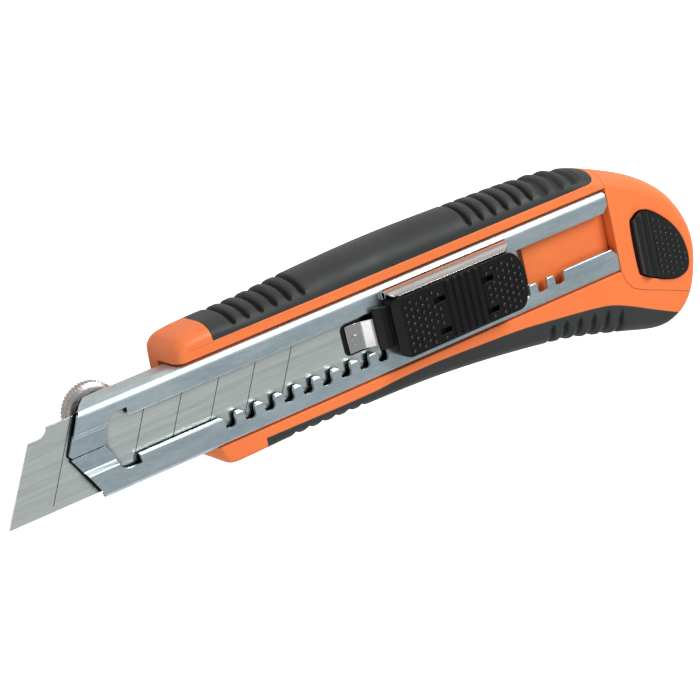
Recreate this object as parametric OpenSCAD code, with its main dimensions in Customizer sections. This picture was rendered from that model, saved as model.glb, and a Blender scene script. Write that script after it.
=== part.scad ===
// 18 mm snap-off utility knife with a blade magazine, lying on its back.
// Every piece is drawn in knife coordinates: d runs back from the blade's tip, v runs from the
// cutting edge towards the spine and w stands out of the slider's face, with 0 on the blade's face.
// place() turns these into the part's frame: +X to the tip, +Y to the cutting edge, +Z up.

/* [Blade] */
// Width of the blade, the standard heavy-duty width
blade_w = 18; // [17.8:0.1:18.2]
// Thickness of the blade
blade_t = 0.5; // [0.4:0.05:0.55]
// Length of the blade along its edge
blade_len = 100; // [98:1:101]
// Distance between two score lines
score_pitch = 9.5; // [9:0.1:10]
// Angle between the score lines and the edge
score_angle = 60; // [58:1:62]

/* [Channel] */
// Outer width of the steel channel
channel_w = 20.6; // [20.4:0.1:20.8]
// Outer depth of the steel channel
channel_depth = 9.1; // [9:0.1:9.3]
// Thickness of the channel's sheet
sheet_t = 0.8; // [0.6:0.1:0.9]
// Width of the window between the two lips
window_w = 9; // [8.8:0.1:9.2]
// Distance between two detent notches
notch_pitch = 5.1; // [5:0.05:5.15]
// Depth of a detent notch
notch_depth = 2.8; // [2.4:0.1:3]

/* [Handle] */
// Length of the whole knife with the blade as drawn
overall_len = 189; // [188.5:0.1:190]
// Thickness of the handle
handle_t = 15.5; // [15.2:0.1:16]
// How far the handle's face stands above the blade's face
face_w = 2; // [1.8:0.1:2.2]
// Depth of the grooves in the grips
groove_depth = 1.2; // [0.6:0.1:1.5]

/* [Slider] */
// Length of the thumb pad
pad_len = 36; // [34:0.5:36]
// Width of the thumb pad
pad_w = 14; // [13:0.1:14.2]
// Height of the thumb pad's top above the blade's face
pad_top = 7.4; // [6.5:0.1:8]

/* [Clamp screw] */
// Diameter of the knurled wheel
wheel_dia = 13.8; // [13:0.1:14]
// Thickness of the knurled wheel
wheel_t = 3.3; // [2.8:0.1:3.5]

/* [Hidden] */
$fn = 48;
eps = 0.01;

// Place of the knife in the part's frame: the box's middle, resting on the handle's back
tip_x = overall_len / 2;
edge_y = 4.75;
back_w = face_w - handle_t;
mid_w = (face_w + back_w) / 2;
half_t = handle_t / 2;

// Blade
score_count = 7;
tip_exposed = 17;
blade_hole_r = 2.5;
blade_hole_d = blade_len - 8.5;
stud_d = blade_hole_d - 1.1;
stud_r = 1.18;
slant = 1 / tan(score_angle);

// Channel
side_v0 = 9.2 - channel_w / 2;
side_v1 = 9.2 + channel_w / 2;
lip_top = 1.9;
channel_back = lip_top - channel_depth;
window_mid = 9.5;
lip_v0 = window_mid - window_w / 2;
lip_v1 = window_mid + window_w / 2;
channel_rear = 164;
bend_r = 1.4;
beak_len = 28.7;
beak_drop = 1;
notch_first = 54.65;
notch_count = 19;
notch_w = 2.8;

// Handle: each row is [d, v, rounding across the face, rounding through the thickness]
handle_rows = [
    [45.9, 10.0, 2.2, 3.4], [45.9, 20.8, 2.2, 3.4], [47.2, 23.9, 2.2, 3.6], [50.2, 25.2, 2.4, 4.2], [57, 26.0, 3.2, 6.0],
    [68, 26.6, 4.4, 7.4], [84, 27.75, 5.2, 7.7], [104, 28.4, 5.4, 7.7], [124, 28.1, 5.2, 7.7],
    [144, 27.5, 4.9, 7.7], [156, 26.4, 4.4, 7.4], [166, 23.3, 4.0, 6.6], [176, 18.5, 4.0, 6.0],
    [183.6, 12.2, 4.0, 6.0], [187.9, 4.6, 4.0, 6.0], [189.0, -2.4, 4.0, 6.0], [187.6, -9.2, 4.0, 6.0],
    [184.6, -14.5, 3.4, 5.0], [179.8, -17.9, 2.8, 4.0], [173.0, -19.0, 2.8, 4.0], [161.0, -15.8, 2.8, 4.0],
    [146, -12.0, 2.8, 4.0], [128, -9.2, 2.6, 4.0], [108, -7.2, 2.2, 4.0], [88, -6.4, 2.0, 3.6],
    [70, -6.0, 1.8, 3.0], [58, -6.1, 1.5, 2.6], [53.2, -5.9, 1.3, 2.4], [51.2, -4.4, 1.1, 2.2], [50.3, -1.8, 1.1, 2.2],
    [49.4, 2.0, 1.2, 2.2]];
round_levels = [-1.03, -0.97, -0.87, -0.7, -0.42, 0, 0.42, 0.7, 0.87, 0.97, 1.03];
slot_v0 = side_v0 - 0.2;
slot_v1 = side_v1 + 0.6;
slot_floor = channel_back - 0.15;
grip_front = 55.4;
grip_rear = 162.8;
grip_v = 22.1;
belly_edge = [[62, -3.6], [88, -4.2], [98, -3.6], [108, -3.2], [120, -3.2], [132, -3.6], [142, -5.0],
    [157, -7.4], [164, -9.8], [171, -13.2], [179, -17.0], [186, -20.5]];
groove_w = 1.7;
groove_v = 23.6;
spine_grooves = [for (start = [61.4, 125.6]) for (i = [0:5]) start + i * 3.6, 151, 157];
belly_grooves = [for (i = [0:5]) [70 + i * 3.6, -5.6], for (i = [0:5]) [141 + i * 3.9, -10.6 - i * 0.95]];

// End cap, its button and the line where it meets the handle
cap_gap = 0.2;
cap_line = [[164.1, 40], [164.1, -1.2], [164.9, -4.0], [166.6, -6.2], [169, -7.5], [178.5, -11.1],
    [184, -13.3], [192, -16.5], [200, -16.5], [200, 40]];
button_outline = [[169, 9.4], [169, -2.4], [170.4, -4.4], [175.4, -7.0], [180.0, -8.3], [183.0, -7.5],
    [184.0, -4.0], [183.1, 0.7], [180.9, 4.6], [177.8, 8.0], [174.9, 10.6], [172.6, 11.5], [170, 11.0]];
button_gap = 0.35;
button_top = 2.6;
button_bottom = -3;
pocket_floor = -6.4;
button_mid = [175.6, 1.4];
latch_front = 159.4;
latch_v0 = 6.2;
latch_v1 = 10.4;
latch_w0 = -4.9;
latch_w1 = -4.1;
cap_nose_front = 158.6;

// Slider
slider_front = 98;
pad_v0 = 9.2 - pad_w / 2;
pad_base = 2.6;
plate_t = 0.5;
neck_v0 = lip_v0 + 0.5;
neck_v1 = lip_v1 - 0.5;
flange_v = pad_v0 + pad_w + 0.3;
ridge_count = 5;
ridge_pitch = 2;

// Magazine
mag_front = 55;
deck_front = 139.5;
deck_top = -0.95;
mag_v0 = side_v0 + sheet_t + 0.35;
mag_v1 = side_v1 - sheet_t - 0.35;
mag_base = channel_back + sheet_t + 0.1;
tray_t = 0.8;
spare_tip = 56.5;
spare_gap = 0.05;

// Clamp screw
screw_d = 29.2;
screw_v = 13.8;
screw_r = 2;
run_gap = 0.05;
wheel_top = channel_back - 1.5;
knurls = 44;

// Colours
orange = [0.96, 0.47, 0.24];
grip_grey = [0.26, 0.28, 0.28];
black = [0.11, 0.11, 0.11];
steel = [0.68, 0.72, 0.75];
bright = [0.8, 0.8, 0.8];

// Knife coordinates to the part's frame
module place() translate([tip_x, edge_y, -back_w]) rotate([0, 0, 180]) children();

// A box between two corners
module box(a, b) translate(a) cube(b - a);

// A plan outline raised from w0 to w1
module slab(w0, w1) translate([0, 0, w0]) linear_extrude(w1 - w0) children();

// A (v, w) outline run from d0 to d1
module run(d0, d1) translate([d0, 0, 0]) rotate([90, 0, 90]) linear_extrude(d1 - d0) children();

// A round bar along w
module bar(at, r, w0, w1) translate([at[0], at[1], w0]) cylinder(r = r, h = w1 - w0);

// One point of a smooth curve through rows of numbers
function spline(a, b, c, e, t) =
    0.5 * (2 * b + (c - a) * t + (2 * a - 5 * b + 4 * c - e) * t * t + (3 * b - a - 3 * c + e) * t * t * t);
function smooth_loop(p, n) = [for (i = [0:len(p) - 1]) for (j = [0:n - 1])
    let (m = len(p)) spline(p[(i + m - 1) % m], p[i], p[(i + 1) % m], p[(i + 2) % m], j / n)];
function smooth_line(p, n) = [for (i = [0:len(p) - 2]) for (j = [0:n - 1])
    spline(p[max(i - 1, 0)], p[i], p[i + 1], p[min(i + 2, len(p) - 1)], j / n), p[len(p) - 1]];

// How far the side of the handle draws in at height h from its middle, carried on straight past its faces
function draw_in(across, through, h) = h > half_t ? 2 * across - draw_in(across, through, 2 * half_t - h)
    : let (s = max(0, 1 - (half_t - h) / through)) across * (1 - sqrt(1 - s * s));
function inward(p, i) = let (m = len(p), t = p[(i + 1) % m] - p[(i + m - 1) % m], l = norm([t[0], t[1]]))
    [t[1], -t[0]] / l;

// The handle's whole outer shape, grips and cap included, before its flat faces are cut
module rounded_shape() {
    rows = smooth_loop(handle_rows, 3);
    m = len(rows);
    points = [for (level = round_levels) for (i = [0:m - 1])
        let (q = [rows[i][0], rows[i][1]] + inward(rows, i) * draw_in(rows[i][2], rows[i][3], abs(level) * half_t))
            [q[0], q[1], mid_w + level * half_t]];
    last = (len(round_levels) - 1) * m;
    faces = [[for (i = [m - 1:-1:0]) i], [for (i = [0:m - 1]) last + i],
        for (k = [0:len(round_levels) - 2]) for (i = [0:m - 1]) for (f = [0, 1]) let (j = (i + 1) % m)
            f == 0 ? [k * m + i, (k + 1) * m + j, (k + 1) * m + i] : [k * m + i, k * m + j, (k + 1) * m + j]];
    polyhedron(points = points, faces = faces);
}

// Height of the spine at distance d
function spine_at(d) = lookup(d, [for (i = [3:12]) [handle_rows[i][0], handle_rows[i][1]]]);

// The part of the handle's shape that stands on a plan outline
module handle_cut() intersection() {
    rounded_shape();
    slab(back_w, face_w) children();
}

// Plans of the handle's zones
module spine_plan() translate([grip_front, grip_v]) square([grip_rear - grip_front, 12]);
module belly_plan() polygon([each smooth_line(belly_edge, 2), [186, -30], [62, -30]]);
module cap_plan(gap) translate([gap, gap / 2]) polygon(cap_line);
module spine_rib(root) box([grip_front - root, grip_v - root, mid_w - 3.5], [grip_rear - 4, 25, mid_w + 3.5]);
module screw_hole(r, w0, w1) bar([screw_d, screw_v], r, w0, w1);
module rivet_bars(r, w0, w1) for (d = [60, 132]) bar([d, 9.2], r, w0, w1);

// Tongue of the cap and its pocket in the handle
module cap_tongue(gap) box([142 - 2 * gap, 4.6 - gap, -11.2 - gap], [164.6, 13.8 + gap, -8.8 + gap]);

// Orange body with the slot for the channel
module handle_body() color(orange) place() difference() {
    union() {
        handle_cut() difference() {
            translate([40, -40]) square([160, 90]);
            spine_plan();
            belly_plan();
            cap_plan(0);
        }
        spine_rib(1);
    }
    box([40, slot_v0, slot_floor], [170, slot_v1, face_w + 1]);
    cap_tongue(0.3);
    rivet_bars(1.6, back_w - 1, slot_floor + 1);
    rivet_bars(3.4, back_w - 1, back_w + 1.6);
}

// Groove that follows the rounded spine at distance d
module spine_groove(d) run(d - groove_w / 2, d + groove_w / 2)
    polygon([for (a = [-90:15:90]) [groove_v + (spine_at(d) - groove_v - groove_depth) * cos(a),
        mid_w + (half_t + 0.2 - groove_depth * 0.5) * sin(a)], [groove_v, 6], [32, 6], [32, -17], [groove_v, -17]]);

// Rubber grip along the spine
module spine_grip() color(grip_grey) place() difference() {
    handle_cut() spine_plan();
    spine_rib(1);
    for (d = spine_grooves) spine_groove(d);
}

// Rubber grip along the belly
module belly_grip() color(grip_grey) place() difference() {
    handle_cut() belly_plan();
    for (g = belly_grooves) slab(back_w - 1, face_w + 1)
        translate([g[0] - groove_w / 2, g[1] - 4 + groove_depth - 0.7]) square([groove_w, 3.5]);
}

// Section of the channel: a box with two lips bent over the blade
module channel_section(beak) {
    difference() {
        bent_box(side_v0, side_v1, channel_back, lip_top, bend_r);
        bent_box(side_v0 + sheet_t, side_v1 - sheet_t, channel_back + sheet_t, lip_top - sheet_t, bend_r - sheet_t);
        translate([lip_v0, 0]) square([window_w, 4]);
    }
    if (beak) for (side = [-1, 1]) translate([window_mid, 0]) mirror([side < 0 ? 1 : 0, 0]) beak_half();
}

// Rectangle with round corners
module bent_box(v0, v1, w0, w1, r) {
    for (v = [v0 + r, v1 - r]) for (w = [w0 + r, w1 - r]) translate([v, w]) circle(r = r);
    translate([v0 + r, w0]) square([v1 - v0 - 2 * r, w1 - w0]);
    translate([v0, w0 + r]) square([v1 - v0, w1 - w0 - 2 * r]);
}

// Half of the pressed-down nose, between the lip and the seam
module beak_half() {
    low = lip_top - beak_drop;
    polygon([[0.08, low], [3.9, low], [4.7, lip_top], [4.7 + sheet_t, lip_top], [4.7 + sheet_t, lip_top - sheet_t],
        [4.9, lip_top - sheet_t], [4.1, low - sheet_t], [0.08, low - sheet_t]]);
}

// Plan of one detent notch with a rounded floor and eased mouth
module notch(d) translate([d, lip_v0]) polygon([[-notch_w / 2 - 0.7, 1], [-notch_w / 2 - 0.7, 0], [-notch_w / 2 - 0.2, -0.2],
    [-notch_w / 2, -0.7], for (a = [0:18:180]) [-notch_w / 2 * cos(a) * 0.98, -notch_depth + 0.9 - 0.9 * sin(a)],
    [notch_w / 2, -0.7], [notch_w / 2 + 0.2, -0.2], [notch_w / 2 + 0.7, 0], [notch_w / 2 + 0.7, 1]]);

// Stamped steel channel that guides the blade
module blade_channel() color(steel) place() difference() {
    union() {
        run(16.5, beak_len) channel_section(true);
        run(beak_len, channel_rear) channel_section(false);
    }
    slab(-1.6, 4) polygon([[10, -5], [22.3, -5], [22.3, -0.6], [22.0, 0.4], [17.8, 8.4], [17.2, 9.2],
        [17.0, 10.2], [17.3, 11.0], [21.0, 18.4], [21.3, 22], [10, 22]]);
    slab(-0.2, 4) polygon([[25.4, window_mid], [26.8, 7.0], [27.1, 4.4], [27.8, 3.5], [29.2, 3.0], [32.2, 3.0],
        [32.2, lip_v0], [35, lip_v0 + 1], [35, lip_v1 - 1], [32.2, lip_v1], [32.2, 15.9], [28.8, 15.9],
        [27.7, 15.2], [26.8, 13.6], [26.5, 11.6]]);
    slab(0, 4) for (i = [0:notch_count - 1]) notch(notch_first + i * notch_pitch);
    slab(0, 4) for (side = [0, 1]) polygon([[channel_rear - 1.6, side ? lip_v1 - eps : lip_v0 + eps],
        [channel_rear + 1, side ? lip_v1 + 2.6 : lip_v0 - 2.6], [channel_rear + 1, window_mid], [channel_rear - 1.6, window_mid]]);
    for (v = [side_v0 - 4, side_v1 - bend_r]) translate([0, v + 4 + bend_r, 0]) rotate([90, 0, 0]) linear_extrude(4 + bend_r)
        polygon([[10, 4], [20.4, 4], [20.9, lip_top], [26.4, channel_back + 1],
            [26.4, channel_back + sheet_t + 0.1], [10, channel_back + sheet_t + 0.1]]);
    slab(channel_back - 1, channel_back + sheet_t + 0.2) polygon([[10, -5], [26.4, -5], [26.4, side_v0 + 1.4],
        [21.6, 4.2], [21.6, 14.2], [26.4, side_v1 - 1.4], [26.4, 25], [10, 25]]);
    screw_hole(3.25, channel_back - 1, channel_back + sheet_t + 1);
    rivet_bars(1.6, channel_back - 1, channel_back + sheet_t + 1);
}

// Rivets that hold the channel to the handle's back wall
module channel_rivets() color(bright) place() {
    rivet_bars(1.55, back_w + 0.2, channel_back + sheet_t + 0.5);
    rivet_bars(3.2, back_w + 0.2, back_w + 1.5);
    rivet_bars(2.6, channel_back + sheet_t + 0.05, channel_back + sheet_t + 0.6);
}

// Plastic block that carries the blade behind the clamp and stops the spare blades
module front_guide() color(black) place() difference() {
    box([36, mag_v0, mag_base], [mag_front - 0.8, mag_v1, -blade_t - 0.1]);
    box([38.5, mag_v0 + 3, mag_base + 1.2], [mag_front - 3.3, mag_v1 - 3, 0]);
}

// Floor of the magazine, with the window that the latch's tooth drops into
module magazine_tray() color(orange) place() difference() {
    box([mag_front, mag_v0, mag_base], [channel_rear - 0.1, mag_v1, mag_base + tray_t]);
    rivet_bars(3, mag_base - 1, mag_base + 2);
    box([latch_front - 0.2, latch_v0 - 0.4, mag_base - 1], [latch_front + 1.8, latch_v1 + 0.4, mag_base + 2]);
}

// Deck under the slider's path, wedged between the channel's walls
module magazine_deck() color(orange) place()
    box([deck_front, side_v0 + sheet_t, deck_top - 1], [channel_rear - 0.1, side_v1 - sheet_t, deck_top]);

// Plan of a snap-off blade with its tip at the origin, without its score lines
module blade_plan() difference() {
    polygon([[0, 0], [blade_len, 0], [blade_len, blade_w], [14.0, blade_w],
        for (a = [15:15:90]) [11.8 + 2.2 * cos(a), blade_w - 1.9 * sin(a)],
        [16.1 * slant, blade_w - 1.9]]);
    translate([blade_hole_d, blade_w / 2]) circle(r = blade_hole_r);
}

// A blade with scored segments and a ground edge, its face at w
module blade(d, w) translate([d, 0, w]) difference() {
    translate([0, 0, -blade_t]) linear_extrude(blade_t) blade_plan();
    for (i = [1:score_count]) translate([i * score_pitch, 0, -0.08]) linear_extrude(1)
        polygon([[0, -1], [0.22, -1], [0.22 + (blade_w + 1) * slant, blade_w + 1], [(blade_w + 1) * slant, blade_w + 1]]);
    for (side = [0, 1]) translate([-1, 0, 0]) rotate([90, 0, 90]) linear_extrude(blade_len + 2)
        polygon(side ? [[-1, -blade_t - 1], [1.6, -blade_t - 1], [1.6, -blade_t], [0, -blade_t / 2 - 0.03], [-1, -blade_t / 2 - 0.03]]
            : [[-1, 1], [1.6, 1], [1.6, 0], [0, -blade_t / 2 + 0.03], [-1, -blade_t / 2 + 0.03]]);
}
module working_blade() color(steel) place() blade(0, 0);
module spare_blade(i) color(steel) place() blade(spare_tip, deck_top - 1.1 - i * (blade_t + spare_gap));

// Plate and leaf spring that press the spare blades up
module follower_plate() color(bright) place() box([60, 1, -4.1], [152, 17.2, -3.8]);
module follower_spring() color(bright) place() translate([0, 16, 0]) rotate([90, 0, 0]) linear_extrude(8)
    polygon([for (a = [0:10:180]) [104 - 38 * cos(a), -5.25 + 1.05 * sin(a)], for (a = [180:-10:0]) [104 - 38 * cos(a), -5.45 + 1.05 * sin(a)]]);

// Slider: plate that rides under the lips with a neck up through the window
module slider_carrier() color(black) place() {
    box([slider_front - 0.5, 0.4, 0.15], [slider_front + pad_len - 0.5, 18, 0.95]);
    box([slider_front + 0.5, neck_v0, 0.9], [slider_front + pad_len - 1, neck_v1, lip_top + 0.2]);
}

// Sprung steel plate under the pad, its clip in front and its flange beside the pad
module slider_clip() color(bright) place() difference() {
    union() {
        box([slider_front + 1, pad_v0 + 0.8, lip_top + 0.2], [slider_front + 33, flange_v + plate_t, lip_top + 0.2 + plate_t]);
        translate([0, flange_v + plate_t, 0]) rotate([90, 0, 0]) linear_extrude(plate_t) polygon([[slider_front + 0.6, 2.1],
            [slider_front + 33, 2.1], [slider_front + 33, 2.7], [slider_front + 26, pad_top - 1.6], [slider_front + 2.4, pad_top - 1.6]]);
        translate([0, 12.7, 0]) rotate([90, 0, 0]) linear_extrude(6.4) polygon([[88, 0.15], [92, 0.15], [94.8, 2.1], [slider_front + 2, 2.1],
            [slider_front + 2, 2.6], [94.5, 2.6], [91.6, 0.65], [88.5, 0.65], [88, 0.5]]);
    }
    bar([stud_d, blade_w / 2], stud_r + 0.02, -1, 1.2);
}

// Stud that catches the blade's hole
module blade_stud() color(bright) place() bar([stud_d, blade_w / 2], stud_r, -0.35, 0.75);

// Leaf spring with the tooth that drops into a notch
module detent_spring() color(bright) place() {
    box([102, lip_v0 + 0.05, 1.2], [119.5, lip_v0 + 0.4, 1.8]);
    box([notch_first + 11 * notch_pitch - 0.8, lip_v0 - 2, 1.2], [notch_first + 11 * notch_pitch + 0.8, lip_v0 + 0.1, 1.8]);
}

// Plan of the thumb pad with rounded ends
module pad_plan(inset) translate([slider_front, pad_v0]) polygon([[inset, 2.2], [2.2, inset], [pad_len - 3.4, inset],
    [pad_len - 1, 1.6 + inset / 2], [pad_len - inset, 4.6], [pad_len - inset, pad_w - 3.6], [pad_len - 1.8, pad_w - 1 - inset / 2],
    [pad_len - 3.2, pad_w - inset], [1.4, pad_w - inset], [inset, pad_w - 1.6]]);

// Black thumb pad with ridges and four pits
module thumb_pad() color(black) place() difference() {
    union() {
        slab(pad_base, pad_top - 0.7) pad_plan(0);
        slab(pad_top - 0.7, pad_top - 0.3) pad_plan(0.5);
        for (i = [0:ridge_count - 1]) translate([slider_front + 14 + (i + 0.5) * ridge_pitch, pad_v0 + 0.5, pad_top - 1.2])
            rotate([-90, 0, 0]) translate([0, -0.2, 0]) cylinder(r = 1, h = pad_w - 1);
    }
    for (d = [12, 25.6]) for (v = [4.9, 12.3]) translate([slider_front + d, v, pad_top - 2]) translate([-1.5, -0.6, 0]) cube([3, 1.2, 3]);
    box([slider_front + 2, pad_v0 + 3, pad_base - 1], [slider_front + pad_len - 3, pad_v0 + pad_w - 3, pad_base + 1.6]);
}

// Threaded boss staked into the channel's back
module clamp_boss() color(bright) place() difference() {
    union() {
        screw_hole(4.3, channel_back - 0.8, channel_back);
        screw_hole(3.2, channel_back - eps, channel_back + sheet_t + 0.9);
    }
    screw_hole(screw_r + run_gap, channel_back - 2, channel_back + 4);
}

// Shoe that presses on the blade's back, swivelling on the stud's tip
module clamp_shoe() color(bright) place() difference() {
    screw_hole(4.2, -2.2, -1.15);
    screw_hole(1.25, -3, -1.5);
}

// Knurled wheel of the clamp screw
module clamp_wheel() color(bright) place() difference() {
    translate([screw_d, screw_v, wheel_top - wheel_t]) linear_extrude(wheel_t)
        polygon([for (i = [0:2 * knurls - 1]) (wheel_dia / 2 - (i % 2) * 0.35) * [cos(i * 180 / knurls), sin(i * 180 / knurls)]]);
    screw_hole(4.4, wheel_top - 0.8, wheel_top + 1);
    screw_hole(4.4, wheel_top - wheel_t - 1, wheel_top - wheel_t + 0.6);
    screw_hole(screw_r, wheel_top - wheel_t - 1, wheel_top + 1);
}

// Stud of the clamp screw, pressed into the wheel
module clamp_stud() color(bright) place() {
    screw_hole(screw_r, wheel_top - wheel_t + 0.1, -2.3);
    screw_hole(1.2, -2.4, -1.6);
}

// Outline of the button, set in by a gap
module button_plan(gap) offset(delta = -gap) polygon(smooth_loop(button_outline, 2));

// End cap that closes the magazine
module end_cap() color(orange) place() difference() {
    union() {
        handle_cut() cap_plan(cap_gap);
        cap_tongue(0);
        box([cap_nose_front, 0.4, mag_base + tray_t + 0.2], [166, 18, deck_top - 1.2]);
    }
    slab(pocket_floor, face_w + 1) polygon(smooth_loop(button_outline, 2));
    box([cap_nose_front - 1, latch_v0 - 0.4, latch_w0 - 0.6], [172, latch_v1 + 0.4, latch_w1 + 0.4]);
    latch_ears();
}

// Black button that frees the cap
module cap_button() color(black) place() difference() {
    union() {
        slab(button_bottom, button_top) button_plan(button_gap);
        intersection() {
            translate([171.6, 20, 1.7]) rotate([90, 0, 0]) cylinder(r = 1.9, h = 40);
            slab(0, 5) button_plan(button_gap + 0.3);
        }
        bar([171.4, 8.3], 1.2, latch_w1 + 0.1, button_bottom + 0.1);
    }
    translate([174.8, 20, button_top + 0.8]) rotate([90, 0, 0]) cylinder(r = 1.3, h = 40);
    bar(button_mid, 2.7, button_bottom - 1, button_bottom + 1.6);
}

// Spring under the button
module button_spring() color(bright) place() difference() {
    bar(button_mid, 2.3, pocket_floor + 0.05, button_bottom + 1.5);
    bar(button_mid, 1.7, pocket_floor - 1, button_bottom + 2);
}

// Springy arm that rocks on its ears: the button pushes one end down and the tooth lifts out of the tray
module latch_ears() box([165.6, latch_v0 - 1.2, latch_w0], [167.6, latch_v1 + 1.2, latch_w1]);
module latch_arm() color(black) place() {
    box([latch_front, latch_v0, latch_w0], [173.2, latch_v1, latch_w1]);
    box([latch_front, latch_v0, latch_w0 - 1.1], [latch_front + 1.4, latch_v1, latch_w0 + 0.1]);
    latch_ears();
}

handle_body();
spine_grip();
belly_grip();
blade_channel();
channel_rivets();
front_guide();
magazine_tray();
magazine_deck();
spare_blade(0);  // spare_blade_1
spare_blade(1);  // spare_blade_2
spare_blade(2);  // spare_blade_3
follower_plate();
follower_spring();
working_blade();
slider_carrier();
slider_clip();
blade_stud();
detent_spring();
thumb_pad();
clamp_boss();
clamp_shoe();
clamp_wheel();
clamp_stud();
end_cap();
cap_button();
button_spring();
latch_arm();
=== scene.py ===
import math

import bmesh
import bpy
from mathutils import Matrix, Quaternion, Vector


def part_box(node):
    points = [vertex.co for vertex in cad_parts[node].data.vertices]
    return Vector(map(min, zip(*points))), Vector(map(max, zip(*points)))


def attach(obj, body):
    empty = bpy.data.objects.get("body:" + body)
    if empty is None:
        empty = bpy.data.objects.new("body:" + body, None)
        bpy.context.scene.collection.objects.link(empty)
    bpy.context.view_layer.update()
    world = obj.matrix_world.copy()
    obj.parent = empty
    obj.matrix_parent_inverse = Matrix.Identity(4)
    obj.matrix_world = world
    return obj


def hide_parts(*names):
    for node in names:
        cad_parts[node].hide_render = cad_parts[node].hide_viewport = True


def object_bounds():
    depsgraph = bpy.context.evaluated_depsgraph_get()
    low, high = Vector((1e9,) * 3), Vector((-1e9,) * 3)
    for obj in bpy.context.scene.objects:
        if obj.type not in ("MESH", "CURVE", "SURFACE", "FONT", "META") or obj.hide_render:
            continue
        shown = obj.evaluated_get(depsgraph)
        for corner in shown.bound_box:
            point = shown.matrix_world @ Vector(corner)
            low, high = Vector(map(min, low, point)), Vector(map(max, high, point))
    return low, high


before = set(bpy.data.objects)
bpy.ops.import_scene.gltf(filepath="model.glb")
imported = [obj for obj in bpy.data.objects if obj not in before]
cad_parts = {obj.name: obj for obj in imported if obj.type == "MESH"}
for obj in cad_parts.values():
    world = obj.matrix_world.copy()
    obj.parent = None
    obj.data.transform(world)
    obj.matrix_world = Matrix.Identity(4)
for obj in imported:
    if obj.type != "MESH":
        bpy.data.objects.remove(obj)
cadLow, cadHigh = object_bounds()
scene = bpy.context.scene
scene.view_settings.view_transform = "Standard"
mm = 0.001
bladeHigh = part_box("working_blade")[1]
channelLow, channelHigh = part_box("blade_channel")
print("frame loaded:", len(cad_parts), "CAD nodes")


def place(d, v, w):  # knife directions to the frame
    return Vector((bladeHigh.x - d * mm, bladeHigh.y - v * mm, bladeHigh.z + w * mm))


# heights of the handle's face, back and middle, and of the channel's lips and back
faceW = (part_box("handle_body")[1].z - bladeHigh.z) / mm
backW = (cadLow.z - bladeHigh.z) / mm
midW = (faceW + backW) / 2
halfT = (faceW - backW) / 2
lipTop = (channelHigh.z - bladeHigh.z) / mm
slotFloor = (channelLow.z - bladeHigh.z) / mm
sideV0 = (bladeHigh.y - channelHigh.y) / mm  # the channel's belly and spine sides
sideV1 = (bladeHigh.y - channelLow.y) / mm


def newPiece(name, points, faces, smoothAngle=32):
    mesh = bpy.data.meshes.new(name)
    mesh.from_pydata(points, [], faces)
    shape = bmesh.new()
    shape.from_mesh(mesh)
    bmesh.ops.recalc_face_normals(shape, faces=shape.faces)
    shape.to_mesh(mesh)
    shape.free()
    piece = bpy.data.objects.new(name, mesh)
    scene.collection.objects.link(piece)
    shade(piece, smoothAngle)
    return piece


def shade(piece, angle=32):
    piece.data.shade_smooth()
    piece.data.set_sharp_from_angle(angle=math.radians(angle))


def settle(piece):  # applies the modifiers
    evaluated = piece.evaluated_get(bpy.context.evaluated_depsgraph_get())
    mesh = bpy.data.meshes.new_from_object(evaluated)
    piece.modifiers.clear()
    piece.data = mesh
    return piece


def carve(piece, tools, operation="DIFFERENCE", angle=32):
    for tool in tools:
        modifier = piece.modifiers.new("carve", "BOOLEAN")
        modifier.operation = operation
        modifier.solver = "MANIFOLD"
        modifier.object = tool
        settle(piece)
        bpy.data.objects.remove(tool)
    shade(piece, angle)
    return piece


def soften(piece, width, segments=3, angle=30):  # rounds the edges
    modifier = piece.modifiers.new("soften", "BEVEL")
    modifier.width = width * mm
    modifier.segments = segments
    modifier.limit_method = "ANGLE"
    modifier.angle_limit = math.radians(angle)
    settle(piece)
    shade(piece, 40)
    return piece


def flatShade(piece):  # keeps big flat faces flat beside rounded ones
    modifier = piece.modifiers.new("weighted", "WEIGHTED_NORMAL")
    modifier.keep_sharp = True
    return piece


def extrude(name, outline, low, high, axis="w"):
    order = {"w": (0, 1, 2), "d": (2, 0, 1), "v": (0, 2, 1)}[axis]
    count = len(outline)
    points = [place(*((a, b, c)[k] for k in order)) for c in (low, high) for a, b in outline]
    faces = [tuple(range(count)), tuple(range(count, 2 * count))]
    faces += [(i, (i + 1) % count, count + (i + 1) % count, count + i) for i in range(count)]
    return newPiece(name, points, faces)


def block(name, low, high):
    outline = [(low[0], low[1]), (high[0], low[1]), (high[0], high[1]), (low[0], high[1])]
    return extrude(name, outline, low[2], high[2])


def circle(at, radius, sides=48):
    turns = [2 * math.pi * i / sides for i in range(sides)]
    return [(at[0] + radius * math.cos(turn), at[1] + radius * math.sin(turn)) for turn in turns]


def arc(at, radius, start, end, steps):  # from one angle to another, in degrees
    turns = [math.radians(start + (end - start) * k / steps) for k in range(steps + 1)]
    return [(at[0] + radius * math.cos(turn), at[1] + radius * math.sin(turn)) for turn in turns]


def loft(name, rings, closed=True, smoothAngle=32):  # skins rings of equal length
    count = len(rings[0])
    points = [p for ring in rings for p in ring]
    faces = []
    for k in range(len(rings) if not closed else len(rings) - 1):
        a, b = k * count, ((k + 1) % len(rings)) * count
        faces += [(a + i, a + (i + 1) % count, b + (i + 1) % count, b + i) for i in range(count)]
    if closed:
        faces += [tuple(range(count)), tuple(range(len(points) - count, len(points)))]
    return newPiece(name, points, faces, smoothAngle)


def joinPieces(piece, others):
    shape = bmesh.new()
    shape.from_mesh(piece.data)
    for other in others:
        shape.from_mesh(other.data)
        bpy.data.objects.remove(other)
    shape.to_mesh(piece.data)
    shape.free()
    shade(piece, 40)
    return piece


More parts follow.
